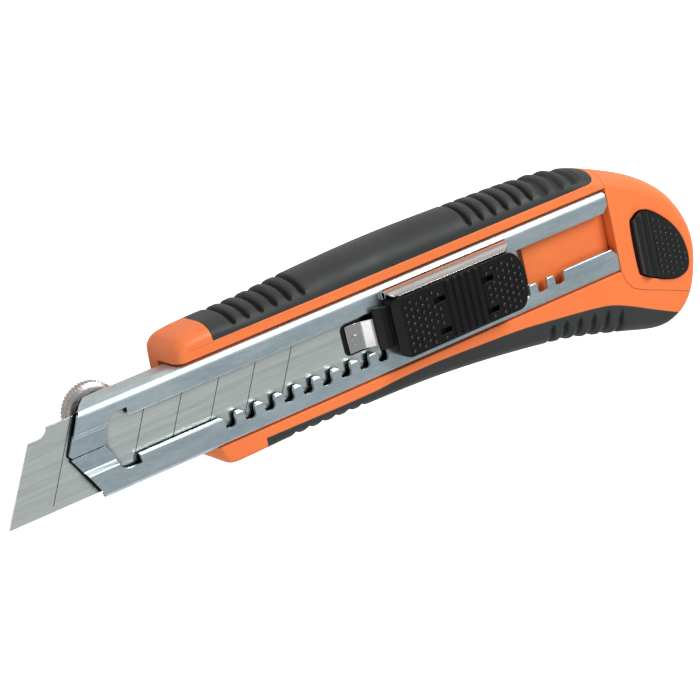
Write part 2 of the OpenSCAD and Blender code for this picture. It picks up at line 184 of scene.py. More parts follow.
def roundCorners(points, radius, steps=5, closed=True):  # swaps each corner for an arc-like curve
    made = []
    count = len(points)
    for i, p in enumerate(points):
        if not closed and i in (0, count - 1):
            made.append(tuple(p))
            continue
        here = Vector(p)
        before, after = Vector(points[i - 1]) - here, Vector(points[(i + 1) % count]) - here
        reach = min(radius, before.length * 0.48, after.length * 0.48)
        start, end = here + before.normalized() * reach, here + after.normalized() * reach
        for k in range(steps + 1):
            t = k / steps
            made.append(tuple(start * (1 - t) ** 2 + here * 2 * t * (1 - t) + end * t * t))
    return made


def smoothCurve(a, b, c, e, t):  # one point of a curve through rows of numbers
    return [0.5 * (2 * q + (r - p) * t + (2 * p - 5 * q + 4 * r - s) * t * t + (3 * q - p - 3 * r + s) * t ** 3)
            for p, q, r, s in zip(a, b, c, e)]


def smoothLoop(rows, steps):
    count = len(rows)
    return [smoothCurve(rows[i - 1], rows[i], rows[(i + 1) % count], rows[(i + 2) % count], j / steps)
            for i in range(count) for j in range(steps)]


def smoothLine(rows, steps):
    last = len(rows) - 1
    made = [smoothCurve(rows[max(i - 1, 0)], rows[i], rows[i + 1], rows[min(i + 2, last)], j / steps)
            for i in range(last) for j in range(steps)]
    return made + [list(rows[last])]


def addNode(tree, kind, feeds=None, **settings):
    node = tree.nodes.new(kind)
    for key, value in settings.items():
        setattr(node, key, value)
    for key, value in (feeds or {}).items():
        if isinstance(value, bpy.types.NodeSocket):
            tree.links.new(value, node.inputs[key])
        else:
            node.inputs[key].default_value = value
    return node


def calc(tree, operation, *values):
    return addNode(tree, "ShaderNodeMath", dict(enumerate(values)), operation=operation).outputs[0]


def cloudNoise(tree, point, scale, detail, roughness=0.5):
    feeds = {"Vector": point, "Scale": scale, "Detail": detail, "Roughness": roughness}
    return addNode(tree, "ShaderNodeTexNoise", feeds).outputs["Fac"]


def ramp(tree, value, fromMin=0.0, fromMax=1.0, toMin=0.0, toMax=1.0):
    feeds = {"Value": value, "From Min": fromMin, "From Max": fromMax, "To Min": toMin, "To Max": toMax}
    return addNode(tree, "ShaderNodeMapRange", feeds).outputs[0]


def startGroup(name, inputs, outputs):
    tree = bpy.data.node_groups.new(name, "ShaderNodeTree")
    for label, value in inputs.items():
        tree.interface.new_socket(name=label, in_out="INPUT", socket_type="NodeSocketFloat").default_value = value
    for label, kind in outputs.items():
        tree.interface.new_socket(name=label, in_out="OUTPUT", socket_type=kind)
    return tree, addNode(tree, "NodeGroupInput").outputs, addNode(tree, "NodeGroupOutput").inputs


def objectPoint(tree, x, y, z):  # object coordinates, each axis with its own scale
    point = addNode(tree, "ShaderNodeTexCoord").outputs["Object"]
    scales = addNode(tree, "ShaderNodeCombineXYZ", {"X": x, "Y": y, "Z": z}).outputs[0]
    return addNode(tree, "ShaderNodeVectorMath", {0: point, 1: scales}, operation="MULTIPLY").outputs[0]


def makeGrain():  # fine moulded texture
    tree, given, out = startGroup("mouldGrain", {"Scale": 3000, "Depth": 1},
                                  {"Height": "NodeSocketFloat", "Mask": "NodeSocketFloat"})
    point = objectPoint(tree, given["Scale"], given["Scale"], given["Scale"])
    cells = addNode(tree, "ShaderNodeTexVoronoi", {"Vector": point, "Scale": 1.0}, feature="SMOOTH_F1")
    cloud = cloudNoise(tree, point, 0.6, 3.0)
    both = calc(tree, "ADD", cells.outputs["Distance"], cloud)
    deep = calc(tree, "MULTIPLY", both, given["Depth"])
    tree.links.new(deep, out["Height"])
    tree.links.new(cloud, out["Mask"])
    return tree


def makeBrush():  # lines drawn along the knife
    tree, given, out = startGroup("brushLines", {"Across": 6000, "Along": 120, "Depth": 1},
                                  {"Height": "NodeSocketFloat", "Tone": "NodeSocketFloat"})
    point = objectPoint(tree, given["Along"], given["Across"], given["Across"])
    lines = cloudNoise(tree, point, 1.0, 4.0, 0.7)
    wide = cloudNoise(tree, point, 0.12, 2.0)
    tone = calc(tree, "MULTIPLY", lines, wide)
    spread = ramp(tree, tone, fromMin=0.14, fromMax=0.36)
    deep = calc(tree, "MULTIPLY", lines, given["Depth"])
    tree.links.new(deep, out["Height"])
    tree.links.new(spread, out["Tone"])
    return tree


def makeWear():  # rounded edge normals, and a mask of the edges with some breaks in it
    tree, given, out = startGroup("edgeWear", {"Radius": 0.0002, "Breaks": 900, "Low": 0.02, "High": 0.25},
                                  {"Normal": "NodeSocketVector", "Mask": "NodeSocketFloat"})
    rounded = addNode(tree, "ShaderNodeBevel", {"Radius": given["Radius"]}, samples=6).outputs["Normal"]
    plain = addNode(tree, "ShaderNodeNewGeometry").outputs["Normal"]
    dot = addNode(tree, "ShaderNodeVectorMath", {0: rounded, 1: plain}, operation="DOT_PRODUCT").outputs["Value"]
    turned = calc(tree, "SUBTRACT", 1.0, dot)
    edge = ramp(tree, turned, fromMin=given["Low"], fromMax=given["High"])
    point = objectPoint(tree, given["Breaks"], given["Breaks"], given["Breaks"])
    cloud = cloudNoise(tree, point, 1.0, 4.0)
    broken = ramp(tree, cloud, fromMin=0.35, fromMax=0.65)
    mask = calc(tree, "MULTIPLY", edge, broken)
    tree.links.new(rounded, out["Normal"])
    tree.links.new(mask, out["Mask"])
    return tree


def makeHandling():  # faint clouds left by fingers and dust
    tree, given, out = startGroup("handlingMarks", {"Scale": 60, "From": 0.4, "To": 0.5},
                                  {"Value": "NodeSocketFloat", "Mask": "NodeSocketFloat"})
    point = objectPoint(tree, given["Scale"], given["Scale"], given["Scale"])
    cloud = cloudNoise(tree, point, 1.0, 5.0, 0.6)
    mask = ramp(tree, cloud, fromMin=0.3, fromMax=0.7)
    value = ramp(tree, mask, toMin=given["From"], toMax=given["To"])
    tree.links.new(value, out["Value"])
    tree.links.new(mask, out["Mask"])
    return tree


grainGroup, brushGroup, wearGroup, handlingGroup = makeGrain(), makeBrush(), makeWear(), makeHandling()


def withAlpha(colour):
    return (*colour, 1.0)


def useGroup(tree, group, feeds):
    node = addNode(tree, "ShaderNodeGroup", node_tree=group)
    for key, value in feeds.items():
        node.inputs[key].default_value = value
    return node.outputs


def mixColour(tree, mask, a, b):
    node = addNode(tree, "ShaderNodeMix", data_type="RGBA")
    for key, value in ((0, mask), (6, a), (7, b)):
        if isinstance(value, bpy.types.NodeSocket):
            tree.links.new(value, node.inputs[key])
        else:
            node.inputs[key].default_value = value if key == 0 else withAlpha(value)
    return node.outputs[2]


def newFinish(name, settings):
    material = bpy.data.materials.new(name)
    material.use_nodes = True
    tree = material.node_tree
    shader = tree.nodes["Principled BSDF"]
    for key, value in settings.items():
        shader.inputs[key].default_value = value
    return material, tree, shader


def mouldedFinish(name, look, settings):  # plastic and rubber: cloudy colour, grain, worn edges
    material, tree, shader = newFinish(name, settings)
    wear = useGroup(tree, wearGroup, {"Radius": look["edge"] * mm})
    grain = useGroup(tree, grainGroup, {"Scale": look["grainScale"]})
    low, high = look["roughness"]
    marks = useGroup(tree, handlingGroup, {"Scale": look["cloudScale"], "From": low, "To": high})
    base = mixColour(tree, marks["Mask"], look["colour"], look["cloud"])
    speck = calc(tree, "MULTIPLY", grain["Mask"], look["speck"])
    speckled = mixColour(tree, speck, base, look["cloud"])
    worn = calc(tree, "MULTIPLY", wear["Mask"], look["wear"])
    tree.links.new(mixColour(tree, worn, speckled, look["worn"]), shader.inputs["Base Color"])
    tree.links.new(marks["Value"], shader.inputs["Roughness"])
    bump = addNode(tree, "ShaderNodeBump", {"Strength": look["bump"], "Distance": look["bumpDepth"] * mm,
                                            "Height": grain["Height"], "Normal": wear["Normal"]})
    tree.links.new(bump.outputs[0], shader.inputs["Normal"])
    return material


def makeScore():  # dark lines where the blade is scored to snap
    tree, given, out = startGroup("scoreLines", {"Pitch": 9.5, "Slope": 0.55, "Width": 0.22, "First": 5.0, "Last": 70.0,
                                                 "Edge": 2.3}, {"Mask": "NodeSocketFloat"})
    point = addNode(tree, "ShaderNodeTexCoord").outputs["Object"]
    axes = addNode(tree, "ShaderNodeSeparateXYZ", {0: point}).outputs
    back = calc(tree, "MULTIPLY_ADD", axes["X"], -1 / mm, bladeHigh.x / mm)
    up = calc(tree, "MULTIPLY_ADD", axes["Y"], -1 / mm, bladeHigh.y / mm + 1)
    lean = calc(tree, "MULTIPLY", up, given["Slope"])
    along = calc(tree, "SUBTRACT", back, lean)
    left = calc(tree, "FLOORED_MODULO", along, given["Pitch"])
    line = calc(tree, "LESS_THAN", left, given["Width"])
    started = calc(tree, "GREATER_THAN", along, given["First"])
    ended = calc(tree, "LESS_THAN", along, given["Last"])
    above = calc(tree, "GREATER_THAN", up, given["Edge"])
    between = calc(tree, "MULTIPLY", started, ended)
    kept = calc(tree, "MULTIPLY", between, above)
    tree.links.new(calc(tree, "MULTIPLY", line, kept), out["Mask"])
    return tree


def makeCreviceShade():  # painted shade: darker colour where other parts stand close over the surface
    tree, given, out = startGroup("creviceShade", {"Reach": 0.0022, "Dark": 0.5, "Clear": 0.86},
                                  {"Mask": "NodeSocketFloat"})
    openness = addNode(tree, "ShaderNodeAmbientOcclusion", {"Distance": given["Reach"]}, samples=8).outputs["AO"]
    mask = ramp(tree, openness, fromMin=given["Dark"], fromMax=given["Clear"], toMin=1.0, toMax=0.0)
    tree.links.new(mask, out["Mask"])
    return tree


scoreGroup, creviceShadeGroup = makeScore(), makeCreviceShade()


def steelFinish(name, look, settings):  # metal: drawn lines, cloudy plating, bright edges
    material, tree, shader = newFinish(name, {"Metallic": 1.0, **settings})
    wear = useGroup(tree, wearGroup, {"Radius": look["edge"] * mm})
    brush = useGroup(tree, brushGroup, {"Across": look["across"], "Along": look["along"]})
    low, high = look["roughness"]
    marks = useGroup(tree, handlingGroup, {"Scale": look["cloudScale"], "From": low, "To": high})
    base = mixColour(tree, marks["Mask"], look["colour"], look["cloud"])
    tone = calc(tree, "MULTIPLY", brush["Tone"], look["lineTone"])
    lined = mixColour(tree, tone, base, look["line"])
    worn = calc(tree, "MULTIPLY", wear["Mask"], look["wear"])
    if "score" in look:
        scored = useGroup(tree, scoreGroup, {"Slope": look["score"][0], "Width": look["score"][1]})
        lined = mixColour(tree, scored["Mask"], lined, look["score"][2])
        # painted shade on the blade where the channel and other parts stand close over it
        shaded = useGroup(tree, creviceShadeGroup, {})
        lined = mixColour(tree, shaded["Mask"], lined, look["paintedCreviceShade"])
    tree.links.new(mixColour(tree, worn, lined, look["worn"]), shader.inputs["Base Color"])
    tree.links.new(marks["Value"], shader.inputs["Roughness"])
    bump = addNode(tree, "ShaderNodeBump", {"Strength": look["bump"], "Distance": look["bumpDepth"] * mm,
                                            "Height": brush["Height"], "Normal": wear["Normal"]})
    tree.links.new(bump.outputs[0], shader.inputs["Normal"])
    return material


orangeLook = {
    "colour": (0.875, 0.198, 0.048), "cloud": (0.83, 0.175, 0.039), "worn": (0.98, 0.34, 0.13), "wear": 0.5,
    "roughness": (0.36, 0.5), "edge": 0.35, "grainScale": 2600, "cloudScale": 45, "speck": 0.35,
    "bump": 0.12, "bumpDepth": 0.05,
}
rubberLook = {
    "colour": (0.025, 0.0275, 0.027), "cloud": (0.019, 0.021, 0.0205), "worn": (0.14, 0.15, 0.15), "wear": 0.35,
    "roughness": (0.5, 0.64), "edge": 0.3, "grainScale": 3400, "cloudScale": 70, "speck": 0.4,
    "bump": 0.16, "bumpDepth": 0.05,
}
blackLook = {
    "colour": (0.006, 0.006, 0.0055), "cloud": (0.004, 0.004, 0.004), "worn": (0.035, 0.035, 0.035), "wear": 0.25,
    "roughness": (0.34, 0.5), "edge": 0.2, "grainScale": 3200, "cloudScale": 90, "speck": 0.3,
    "bump": 0.2, "bumpDepth": 0.06,
}
platedLook = {
    "colour": (0.69, 0.77, 0.78), "cloud": (0.49, 0.58, 0.62), "line": (0.33, 0.42, 0.47), "lineTone": 0.6,
    "worn": (0.95, 0.95, 0.95), "wear": 0.45, "roughness": (0.3, 0.44), "edge": 0.05, "across": 2000, "along": 420,
    "cloudScale": 200, "bump": 0.12, "bumpDepth": 0.03,
}
bladeLook = {
    "colour": (0.9, 0.93, 0.88), "cloud": (0.8, 0.84, 0.79), "line": (0.52, 0.55, 0.52), "lineTone": 0.6,
    "worn": (0.9, 0.9, 0.9), "wear": 0.6, "roughness": (0.24, 0.36), "edge": 0.06, "across": 5200, "along": 110,
    "cloudScale": 110, "bump": 0.25, "bumpDepth": 0.03,
}
scoredLook = {  # the working blade: slope, width and colour of its score lines, and the colour of the painted shade in its crevices
    **bladeLook, "score": (0.5485, 0.2, (0.2, 0.22, 0.21)), "paintedCreviceShade": (0.02, 0.022, 0.022),
}
brightLook = {
    "colour": (0.6, 0.585, 0.57), "cloud": (0.5, 0.485, 0.47), "line": (0.5, 0.5, 0.5), "lineTone": 0.3,
    "worn": (0.95, 0.95, 0.95), "wear": 0.7, "roughness": (0.16, 0.28), "edge": 0.1, "across": 3800, "along": 200,
    "cloudScale": 160, "bump": 0.1, "bumpDepth": 0.02,
}
knurledLook = {
    "colour": (0.56, 0.5, 0.48), "cloud": (0.46, 0.41, 0.39), "line": (0.5, 0.48, 0.46), "lineTone": 0.25,
    "worn": (0.95, 0.94, 0.93), "wear": 0.8, "roughness": (0.24, 0.36), "edge": 0.08, "across": 2600, "along": 2600,
    "cloudScale": 200, "bump": 0.1, "bumpDepth": 0.02,
}
satinLook, glossLook = {**blackLook, "roughness": (0.22, 0.32)}, {**blackLook, "roughness": (0.14, 0.22)}
finishes = {
    "orange_plastic": mouldedFinish("orangePlastic", orangeLook, {"Specular IOR Level": 0.5}),
    "grip_rubber": mouldedFinish("gripRubber", rubberLook, {"Specular IOR Level": 0.4, "Sheen Weight": 0.06,
                                                            "Sheen Roughness": 0.5}),
    "black_plastic": mouldedFinish("blackPlastic", blackLook, {"Specular IOR Level": 0.2}),
    "black_satin": mouldedFinish("blackSatin", satinLook, {"Specular IOR Level": 0.45}),
    "black_gloss": mouldedFinish("blackGloss", glossLook, {"Specular IOR Level": 0.6}),
    "plated_steel": steelFinish("platedSteel", platedLook, {}),
    "blade_steel": steelFinish("bladeSteel", bladeLook, {}),
    "scored_steel": steelFinish("scoredSteel", scoredLook, {}),
    "bright_steel": steelFinish("brightSteel", brightLook, {}),
    "knurled_steel": steelFinish("knurledSteel", knurledLook, {}),
}
print("finishes made:", ", ".join(sorted(finishes)))


def finishPiece(piece, body, slotName, *nodes):
    piece.data.materials.clear()
    piece.data.materials.append(finishes[slotName])
    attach(piece, body)
    if nodes:
        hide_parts(*nodes)
    return piece


handle = {
    # each row is d, v, rounding across the face, rounding through the thickness
    "rows": [
        (45.9, 10.0, 2.2, 3.4), (45.9, 20.8, 2.2, 3.4), (47.2, 23.9, 2.2, 3.6), (50.2, 25.2, 2.4, 4.2),
        (57, 26.0, 3.2, 6.0), (68, 26.6, 4.4, 7.4), (84, 27.75, 5.2, 7.7), (104, 28.4, 5.4, 7.7),
        (124, 28.1, 5.2, 7.7), (144, 27.5, 4.9, 7.7), (156, 26.4, 4.4, 7.4), (166, 23.3, 4.0, 6.6),
        (176, 18.5, 4.0, 6.0), (183.6, 12.2, 4.0, 6.0), (187.9, 4.6, 4.0, 6.0), (189.0, -2.4, 4.0, 6.0),
        (187.6, -9.2, 4.0, 6.0), (184.6, -14.5, 3.4, 5.0), (179.8, -17.9, 2.8, 4.0), (173.0, -19.0, 2.8, 4.0),
        (161.0, -15.8, 2.8, 4.0), (146, -12.0, 2.8, 4.0), (128, -9.2, 2.6, 4.0), (108, -7.2, 2.2, 4.0),
        (88, -6.4, 2.0, 3.6), (70, -6.0, 1.8, 3.0), (58, -6.1, 1.5, 2.6), (53.2, -5.9, 1.3, 2.4),
        (51.2, -4.4, 1.1, 2.2), (50.3, -1.8, 1.1, 2.2), (49.4, 2.0, 1.2, 2.2)],
    "steps": 8,
    "levels": 29,
    "bellyEdge": [(62, -3.3), (88, -3.6), (98, -3.2), (108, -3.1), (120, -3.6), (132, -4.2), (142, -5.3), (157, -7.4),
                  (164, -9.8), (171, -13.2), (179, -17.0), (186, -20.5)],
    "spineGrip": (55.4, 162.8, 22.1),
    "capLine": [(164.1, 40), (164.1, -1.2), (164.9, -4.0), (166.6, -6.2), (169, -7.5), (178.5, -11.1), (184, -13.3),
                (192, -16.5), (200, -16.5), (200, 40)],
    "capGap": 0.1,
    "gripGap": 0.05,
    "spineHeel": (6, 0.4, 3.2),  # slant, set-back and rounding of the spine grip's rear corner
    "outside": (40, -30),  # v well clear of the spine and of the belly
    "slotRun": (40, 170),
    "slotGap": (0.06, 0.3),  # beside the channel, at its belly and its spine side
    "slotUnder": 0.15,
    "tonguePocket": ((141.4, 4.3, -11.5), (164.9, 14.1, -8.5)),
}
rivets = {"runs": (60, 132), "v": 9.2, "radius": 1.6, "headRadius": 3.4, "headDepth": 1.6}
handleLoop = smoothLoop(handle["rows"], handle["steps"])
slotV0 = sideV0 - handle["slotGap"][0]
slotV1 = sideV1 + handle["slotGap"][1]


def drawIn(across, through, height):  # how far the side has come in at a height from the middle
    s = max(0.0, 1 - (halfT - min(abs(height), halfT)) / through)
    return across * (1 - math.sqrt(1 - s * s))


def inwardAt(i):
    before, after = handleLoop[i - 1], handleLoop[(i + 1) % len(handleLoop)]
    return Vector((after[1] - before[1], before[0] - after[0])).normalized()


def sidePoint(i, height, extra=0.0):
    d, v, across, through = handleLoop[i]
    return Vector((d, v)) + inwardAt(i) * (drawIn(across, through, height) + extra)


def throughHandle(outline):  # a tool that cuts from the back to the face
    return extrude("tool", outline, backW - 1, faceW + 1)


def handleShape(name):
    heights = [halfT * math.sin(math.pi * (k / (handle["levels"] - 1) - 0.5)) for k in range(handle["levels"])]
    rings = [[place(*sidePoint(i, h), midW + h) for i in range(len(handleLoop))] for h in heights]
    return loft(name, rings)


def spinePlan(gap):
    front, rear, low = handle["spineGrip"]
    slant, back, rounding = handle["spineHeel"]
    high = handle["outside"][0]
    heel = [(rear - slant, low + gap), (rear - gap - back, low + gap), (rear - gap, high)]
    return [(front + gap, high), (front + gap, low + gap), *roundCorners(heel, rounding, 8, False)]


def bellyPlan(gap):
    edge, low = handle["bellyEdge"], handle["outside"][1]
    return [(d, v - gap) for d, v in smoothLine(edge, 4)] + [(edge[-1][0], low), (edge[0][0] + gap, low)]


def capPlan(gap):
    return [(d + gap, v + gap / 2) for d, v in handle["capLine"]]


grooves = {
    "spine": [start + i * 3.6 for start in (61.4, 125.6) for i in range(6)],
    "spineLumps": [147.6, 152.2, 156.8],
    "spineEnd": 23.5,
    "bellyFront": [70 + i * 3.6 for i in range(6)],
    "bellyRear": [141 + i * 3.9 for i in range(6)],
    "bellyMargin": 0.9,  # kept between a belly groove and the grip's edge
    "bellyReach": (1.9, 2.0),  # most at the front, and beyond the edge's ends
    "spineLump": (0.3, 2.0, 0.9),  # more reach, width and depth than an ordinary groove
    "frontSize": (1.1, 1.0),  # width and depth
    "rearSize": (1.25, 1.1),
    "lifts": (1.35, 0.75, 0.3, 0.08),  # how far the tool rises out at its ends
    "steps": 16,
    # half width and depth of a groove's side, from its floor to its rounded shoulder
    "profile": [(0, -1.5), (0.28, -1.42), (0.46, -1.15), (0.54, -0.75), (0.66, -0.4), (0.9, -0.14), (1.3, 0.03),
                (1.5, 0.6)],
}


def loopIndex(d, spine):  # the outline point nearest d on the spine or the belly
    half = len(handleLoop) // 2
    span = range(0, half) if spine else range(half, len(handleLoop))
    return min(span, key=lambda i: abs(handleLoop[i][0] - d))


def groove(d, spine, reach, width=1.0, depth=1.0):  # tool that follows the handle's section round its edge
    i = loopIndex(d, spine)
    shift = Vector((d - handleLoop[i][0], 0))
    inward = inwardAt(i)
    across, through = handleLoop[i][2:4]
    endHeight = halfT
    while drawIn(across, through, endHeight) > reach:
        endHeight -= 0.02
    flat = []
    if reach > across:
        flat = [(sidePoint(i, halfT, (reach - across) * (1 - k / 4)), halfT) for k in range(4)]
    top = math.asin(endHeight / halfT)
    steps, lifts = grooves["steps"], grooves["lifts"]
    heights = [halfT * math.sin(top * (1 - k / steps)) for k in range(2 * steps + 1)]
    path = flat + [(sidePoint(i, h), h) for h in heights] + [(p, -h) for p, h in reversed(flat)]
    side = [(x * width, z * depth if z < 0 else z) for x, z in grooves["profile"]]
    section = side + [(-x, z) for x, z in reversed(side[1:])]
    along = Vector((-inward.y, inward.x))
    last = len(path) - 1
    rings = []
    for k, (p, h) in enumerate(path):
        (pa, ha), (pb, hb) = path[max(k - 1, 0)], path[min(k + 1, last)]
        run, rise = (pb - pa).dot(inward), hb - ha
        size = math.hypot(run, rise)
        fromEnd = min(k, last - k)
        lift = lifts[fromEnd] * depth if fromEnd < len(lifts) else 0
        ring = []
        for x, z in section:
            q = p + shift + inward * rise / size * (z + lift) + along * x
            ring.append(place(q.x, q.y, midW + h - run / size * (z + lift)))
        rings.append(ring)
    return loft("tool", rings)


def bellyReach(d):  # from the belly's outline to just short of the grip's edge
    edge = handle["bellyEdge"]
    for (a, va), (b, vb) in zip(edge, edge[1:]):
        if a <= d <= b:
            line = va + (vb - va) * (d - a) / (b - a)
            return line - handleLoop[loopIndex(d, False)][1] - grooves["bellyMargin"]
    return grooves["bellyReach"][1]


def intersectWith(piece, tool):
    return carve(piece, [tool], "INTERSECT")


def rivetHoles(radius, low, high):
    return [extrude("tool", circle((d, rivets["v"]), radius), low, high) for d in rivets["runs"]]


def buildHandle():
    body = handleShape("handle_shell")
    (slotFront, slotRear), gap = handle["slotRun"], handle["gripGap"]
    carve(body, [throughHandle(spinePlan(-gap)), throughHandle(bellyPlan(-gap)), throughHandle(capPlan(0)),
                 block("tool", (slotFront, slotV0, slotFloor - handle["slotUnder"]), (slotRear, slotV1, faceW + 1)),
                 block("tool", *handle["tonguePocket"])])
    carve(body, rivetHoles(rivets["headRadius"], backW - 1, backW + rivets["headDepth"]))
    carve(body, rivetHoles(rivets["radius"], backW - 1, slotFloor + 1))
    flatShade(body)
    finishPiece(body, "handle", "orange_plastic", "handle_body")
    print("handle shell built:", len(body.data.polygons), "faces")


def buildSpineGrip():
    grip = intersectWith(handleShape("spine_grip_soft"), throughHandle(spinePlan(0)))
    more, width, depth = grooves["spineLump"]

    def reachTo(d):
        return handleLoop[loopIndex(d, True)][1] - grooves["spineEnd"]

    tools = [groove(d, True, reachTo(d)) for d in grooves["spine"]]
    tools += [groove(d, True, reachTo(d) + more, width, depth) for d in grooves["spineLumps"]]
    carve(grip, tools, angle=50)
    flatShade(grip)
    finishPiece(grip, "handle", "grip_rubber", "spine_grip")
    print("spine grip built:", len(grip.data.polygons), "faces")


def buildBellyGrip():
    grip = intersectWith(handleShape("belly_grip_soft"), throughHandle(bellyPlan(0)))
    most = grooves["bellyReach"][0]
    tools = [groove(d, False, min(bellyReach(d), most), *grooves["frontSize"]) for d in grooves["bellyFront"]]
    tools += [groove(d, False, bellyReach(d), *grooves["rearSize"]) for d in grooves["bellyRear"]]
    carve(grip, tools, angle=50)
    flatShade(grip)
    finishPiece(grip, "handle", "grip_rubber", "belly_grip")
    print("belly grip built:", len(grip.data.polygons), "faces")


button = {
    "outline": [(169.1, 8.6), (169, -2.0), (170.2, -4.3), (175.4, -7.0), (180.0, -8.3), (183.3, -7.5), (184.5, -4.0),
                (183.7, 0.9), (181.5, 5.0), (178.3, 8.4), (175.2, 10.7), (172.6, 11.4), (170.4, 10.6)],
    "mid": (175.6, 1.4),
    "gap": 0.35,
    "top": 2.6,
    "bottom": -3.0,
    "ridge": (171.3, 1.7, 1.6),  # d, w and radius
    "valley": (173.85, 3.15, 1.1),
    "dotPitch": (1.5, 1.45),
    "dotRadius": 0.42,
    "dotHeight": 0.34,
    "dotStart": (1.7, -8),  # d behind the valley, and v
    "dotCount": (8, 16),
    "dotMargin": 0.9,
    "run": (166, 188),
    "across": (-14, 16),
    "edge": 0.4,
    "springRecess": (2.7, 3.6),  # radius and depth
}


def inset(outline, gap):  # moves a clockwise or anticlockwise outline inwards
    count = len(outline)
    middle = Vector((sum(p[0] for p in outline) / count, sum(p[1] for p in outline) / count))
    made = []
    for i, p in enumerate(outline):
        before, after = Vector(outline[i - 1][:2]), Vector(outline[(i + 1) % count][:2])
        run = (after - before).normalized()
        normal = Vector((run.y, -run.x))
        if normal.dot(middle - Vector(p[:2])) < 0:
            normal = -normal
        made.append(tuple(Vector(p[:2]) + normal * gap))
    return made


def insideOutline(p, outline):
    inside = False
    for (ax, ay), (bx, by) in zip(outline, outline[1:] + outline[:1]):
        if (ay > p[1]) != (by > p[1]) and p[0] < (bx - ax) * (p[1] - ay) / (by - ay) + ax:
            inside = not inside
    return inside


def dome(name, at, radius, height, w):  # one raised dot
    rings = []
    for k in range(4):
        angle = math.pi / 2 * k / 4
        rings.append([place(d, v, w + height * math.sin(angle)) for d, v in circle(at, radius * math.cos(angle), 12)])
    rings.insert(0, [place(d, v, w - 0.25) for d, v in circle(at, radius, 12)])
    return loft(name, rings, smoothAngle=60)


def dots(at, pitch, count, radius, height, w, allowed):
    made = []
    for i in range(count[0]):
        for j in range(count[1]):
            p = (at[0] + i * pitch[0], at[1] + (j + 0.5 * (i % 2)) * pitch[1])
            if allowed(p):
                made.append(dome("tool", p, radius, height, w))
    return made


cap = {
    "tongue": ((142, 4.6, -11.2), (164.6, 13.8, -8.8)),
    "nose": ((158.6, 0.4, -5.35), (166, 18, -2.15)),
    "latchSlot": ((157, 5.8, -5.5), (172, 10.8, -3.7)),
    "latchEars": ((165.6, 5.0, -4.9), (167.6, 11.6, -4.1)),
    "pocketFloor": -6.4,
}


def buildCap():
    piece = intersectWith(handleShape("end_cap_shell"), throughHandle(capPlan(handle["capGap"])))
    carve(piece, [block("tool", *cap["tongue"]), block("tool", *cap["nose"])], "UNION")
    carve(piece, [extrude("tool", smoothLoop(button["outline"], 6), cap["pocketFloor"], faceW + 1),
                  block("tool", *cap["latchSlot"]), block("tool", *cap["latchEars"])])
    flatShade(piece)
    finishPiece(piece, "cap", "orange_plastic", "end_cap")
    print("end cap built:", len(piece.data.polygons), "faces")


def buildButton():
    outline = inset(smoothLoop(button["outline"], 6), button["gap"])
    ridgeD, ridgeW, ridgeR = button["ridge"]
    valleyD, valleyW, valleyR = button["valley"]
    (front, rear), top, bottom = button["run"], button["top"], button["bottom"]
    profile = [(front, bottom), (front, ridgeW - 0.4), *arc((ridgeD, ridgeW), ridgeR, 182, 24, 16),
               *arc((valleyD, valleyW), valleyR, 215, 318, 10), (valleyD + 1.5, top), (rear, top), (rear, bottom)]
    piece = intersectWith(extrude("release_button", profile, *button["across"], "v"),
                          extrude("tool", outline, bottom - 1, 6))
    soften(piece, button["edge"], 4, 50)
    recessRadius, recessDepth = button["springRecess"]
    carve(piece, [extrude("tool", circle(button["mid"], recessRadius), bottom - 1, bottom + recessDepth)])
    area = inset(outline, button["dotMargin"])
    behind, v = button["dotStart"]
    made = dots((valleyD + behind, v), button["dotPitch"], button["dotCount"], button["dotRadius"],
                button["dotHeight"], top, lambda p: insideOutline(p, area))
    finishPiece(joinPieces(made[0], made[1:]), "button", "black_gloss").name = "release_button_dots"
    flatShade(piece)
    finishPiece(piece, "button", "black_satin", "cap_button")
    print("button built:", len(made), "dots")


pad = {
    "front": 98.0, "length": 36.0, "v0": 2.2, "width": 14.0, "base": 2.6, "top": 7.4, "deckDrop": 0.35,
    "frontSlope": 1.6, "edge": 0.5, "corner": 2.2,
    "ridges": 5, "ridgeStart": 112.0, "ridgePitch": 2.0, "ridgeRadius": 1.0, "ridgeEdge": 0.35, "ridgeInset": 0.25,
    "pits": [(110, 4.9), (110, 12.3), (123.6, 4.9), (123.6, 12.3)], "pitSize": (3.2, 1.35, 2.2),
    "dotRadius": 0.46, "dotHeight": 0.45, "dotPitch": (1.5, 1.7), "dotCount": (7, 8), "dotV": 1.2, "dotMargin": 1.2,
    "dotFronts": (100.6, 123.4), "dotEdge": 2.2,
    "dotFree": (111.2, 122.9),  # no dots between these, where the ridges are
    "dotClear": (2.1, 1.15),  # from the middle of a pit
    "grooveRadius": 0.42, "grooveInset": 0.5,
    "hollow": (2, 3, 3, 1.6),  # underneath: set in from the front, the rear and the sides, and its depth
    # nose: a black block under the pad's front, partly the carrier's front and partly standing in for the shadow
    # between the spring tab and the pad
    "nose": [(94.4, 2.64), (94.6, 3.1), (96.0, 4.3), (99.0, 4.3), (99.0, 2.64)], "noseRun": (5.2, 15.0),  # d, w and v
    # a thin black sheet on the blade, reaching ahead of the spring tab: painted shadow under the tab's front
    "tabShadowSheet": [(87.1, 6.9), (87.6, 6.1), (88.6, 5.8), (95.0, 5.8), (95.0, 13.2), (88.6, 13.2), (87.6, 12.9),
             (87.1, 12.1)],
    "tabShadowHeights": (0.005, 0.045),
}


